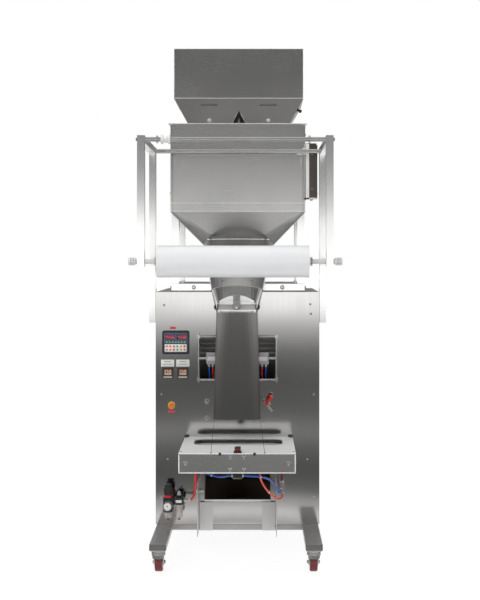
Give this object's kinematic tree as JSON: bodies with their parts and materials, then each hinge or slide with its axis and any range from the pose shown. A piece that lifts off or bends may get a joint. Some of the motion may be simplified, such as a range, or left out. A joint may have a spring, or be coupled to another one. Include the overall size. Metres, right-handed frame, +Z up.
{
  "type": "bulk packaging machine",
  "caption": "Floor-standing bulk packaging machine with a weigher over a cabinet, a forming tube, cross and back sealing units and a film reel, on casters.",
  "frame": {"origin": "centre of the footprint, on the floor under the casters", "axes": "+X to the right as seen from the front, +Y to the rear, +Z up; the front faces -Y"},
  "size_m": [0.85, 1.0974, 2.273],
  "materials": {
    "stainless": "brushed",
    "zinc_steel": "satin",
    "wheel_rubber": "satin",
    "frame_tube": "brushed",
    "roller_steel": "polished",
    "film": "gloss",
    "jaw_steel": "satin",
    "knife_steel": "polished",
    "dark_plastic": "matte",
    "button_base": "gloss",
    "button_cap": "gloss",
    "valve_body": "satin",
    "valve_grip": "gloss",
    "clear_bowl": "gloss",
    "gauge_face": "gloss",
    "hose": "satin"
  },
  "bodies": {
    "machine": {"base_frame": "stainless", "caster_plates": "zinc_steel", "front_panel": "stainless", "cabinet_shell": "stainless", "cabinet_frame": "zinc_steel", "electrical_plate": "stainless", "discharge_chute": "stainless", "guard_plates": "stainless", "controller": "dark_plastic", "temperature_controllers": "dark_plastic", "button_base": "button_base", "hand_valve": "valve_body", "air_filter": "dark_plastic", "air_bowls": "clear_bowl", "pressure_gauge": "gauge_face", "hose_fittings": "jaw_steel", "air_hoses": "hose", "sealing_housing": "stainless", "housing_cover": "stainless", "bag_sensor": "dark_plastic", "jaw_guides": "roller_steel", "air_cylinders": "jaw_steel", "seal_frame": "frame_tube", "forming_tube": "stainless", "feed_chute": "stainless", "outlet_collar": "stainless", "stand": "stainless", "weigher_body": "stainless", "weigher_lid": "stainless", "weigher_funnel": "stainless", "weigher_box": "dark_plastic", "vibratory_feeders": "stainless", "weigh_buckets": "stainless", "supply_hopper": "stainless", "film_frame": "frame_tube"},
    "caster_fork_1": {"caster_fork_1": "zinc_steel"},
    "caster_fork_2": {"caster_fork_2": "zinc_steel"},
    "caster_fork_3": {"caster_fork_3": "zinc_steel"},
    "caster_fork_4": {"caster_fork_4": "zinc_steel"},
    "caster_wheel_1": {"caster_wheel_1": "wheel_rubber"},
    "caster_wheel_2": {"caster_wheel_2": "wheel_rubber"},
    "caster_wheel_3": {"caster_wheel_3": "wheel_rubber"},
    "caster_wheel_4": {"caster_wheel_4": "wheel_rubber"},
    "reel": {"reel_shaft": "roller_steel", "film_reel": "film"},
    "front_roller": {"front_roller": "roller_steel"},
    "rear_roller": {"rear_roller": "roller_steel"},
    "front_jaw": {"front_jaw": "jaw_steel"},
    "rear_jaw": {"rear_jaw": "jaw_steel"},
    "cut_off_knife": {"cut_off_knife": "knife_steel"},
    "seal_bar": {"seal_bar": "jaw_steel"},
    "push_button": {"push_button": "button_cap"},
    "regulator_knob": {"regulator_knob": "dark_plastic"},
    "valve_lever": {"valve_lever": "valve_grip"},
    "rear_door": {"rear_door": "stainless"},
    "door_lock": {"door_lock": "zinc_steel"},
    "flow_gate_left": {"flow_gate_left": "stainless"},
    "flow_gate_right": {"flow_gate_right": "stainless"},
    "bucket_flap_left": {"bucket_flap_left": "stainless"},
    "bucket_flap_right": {"bucket_flap_right": "stainless"}
  },
  "joints": [
    {"name": "caster_swivel_1", "type": "hinge", "parent": "machine", "child": "caster_fork_1", "pos_m": [-0.32, -0.35025, 0.09], "axis": [0, 0, 1], "continuous": true},
    {"name": "caster_spin_1", "type": "hinge", "parent": "caster_fork_1", "child": "caster_wheel_1", "pos_m": [-0.32, -0.32225, 0.0375], "axis": [1, 0, 0], "continuous": true},
    {"name": "caster_swivel_2", "type": "hinge", "parent": "machine", "child": "caster_fork_2", "pos_m": [0.32, -0.35025, 0.09], "axis": [0, 0, 1], "continuous": true},
    {"name": "caster_spin_2", "type": "hinge", "parent": "caster_fork_2", "child": "caster_wheel_2", "pos_m": [0.32, -0.32225, 0.0375], "axis": [1, 0, 0], "continuous": true},
    {"name": "caster_swivel_3", "type": "hinge", "parent": "machine", "child": "caster_fork_3", "pos_m": [-0.32, 0.46975, 0.09], "axis": [0, 0, 1], "continuous": true},
    {"name": "caster_spin_3", "type": "hinge", "parent": "caster_fork_3", "child": "caster_wheel_3", "pos_m": [-0.32, 0.49775, 0.0375], "axis": [1, 0, 0], "continuous": true},
    {"name": "caster_swivel_4", "type": "hinge", "parent": "machine", "child": "caster_fork_4", "pos_m": [0.32, 0.46975, 0.09], "axis": [0, 0, 1], "continuous": true},
    {"name": "caster_spin_4", "type": "hinge", "parent": "caster_fork_4", "child": "caster_wheel_4", "pos_m": [0.32, 0.49775, 0.0375], "axis": [1, 0, 0], "continuous": true},
    {"name": "reel_spin", "type": "hinge", "parent": "machine", "child": "reel", "pos_m": [0, -0.48525, 1.284], "axis": [1, 0, 0], "continuous": true},
    {"name": "front_roller_spin", "type": "hinge", "parent": "machine", "child": "front_roller", "pos_m": [0, -0.48525, 1.77], "axis": [1, 0, 0], "continuous": true},
    {"name": "rear_roller_spin", "type": "hinge", "parent": "machine", "child": "rear_roller", "pos_m": [0, -0.07025, 1.77], "axis": [1, 0, 0], "continuous": true},
    {"name": "front_jaw_travel", "type": "slide", "parent": "machine", "child": "front_jaw", "axis": [0, 1, 0], "range_m": [0, 0.0545]},
    {"name": "rear_jaw_travel", "type": "slide", "parent": "machine", "child": "rear_jaw", "axis": [0, -1, 0], "range_m": [0, 0.0545]},
    {"name": "knife_travel", "type": "slide", "parent": "front_jaw", "child": "cut_off_knife", "axis": [0, 1, 0], "range_m": [0, 0.008]},
    {"name": "seal_bar_travel", "type": "slide", "parent": "machine", "child": "seal_bar", "axis": [0, -1, 0], "range_m": [0, 0.018]},
    {"name": "button_travel", "type": "slide", "parent": "machine", "child": "push_button", "axis": [0, 1, 0], "range_m": [0, 0.004], "stiffness_N_per_m": 600},
    {"name": "regulator_turn", "type": "hinge", "parent": "machine", "child": "regulator_knob", "pos_m": [-0.299, -0.14525, 0.33], "axis": [0, 0, 1], "range_deg": [-180, 180]},
    {"name": "valve_turn", "type": "hinge", "parent": "machine", "child": "valve_lever", "pos_m": [0.126, -0.14525, 0.664], "axis": [0, 1, 0], "range_deg": [0, 90]},
    {"name": "door_swing", "type": "hinge", "parent": "machine", "child": "rear_door", "pos_m": [-0.35, 0.52475, 0.6385], "axis": [0, 0, 1], "range_deg": [0, 110]},
    {"name": "door_lock_turn", "type": "hinge", "parent": "rear_door", "child": "door_lock", "pos_m": [0.316, 0.51875, 0.6385], "axis": [0, -1, 0], "range_deg": [0, 90]},
    {"name": "flow_gate_left_travel", "type": "slide", "parent": "machine", "child": "flow_gate_left", "axis": [0, -1, 0], "range_m": [0, 0.08]},
    {"name": "flow_gate_right_travel", "type": "slide", "parent": "machine", "child": "flow_gate_right", "axis": [0, -1, 0], "range_m": [0, 0.08]},
    {"name": "bucket_flap_left_swing", "type": "hinge", "parent": "machine", "child": "bucket_flap_left", "pos_m": [-0.137, 0.13475, 1.592], "axis": [1, 0, 0], "range_deg": [0, 80]},
    {"name": "bucket_flap_right_swing", "type": "hinge", "parent": "machine", "child": "bucket_flap_right", "pos_m": [0.137, 0.13475, 1.592], "axis": [1, 0, 0], "range_deg": [0, 80]}
  ],
  "couplings": [
    {"joint": "rear_jaw_travel", "follows": "front_jaw_travel", "ratio": 1}
  ]
}
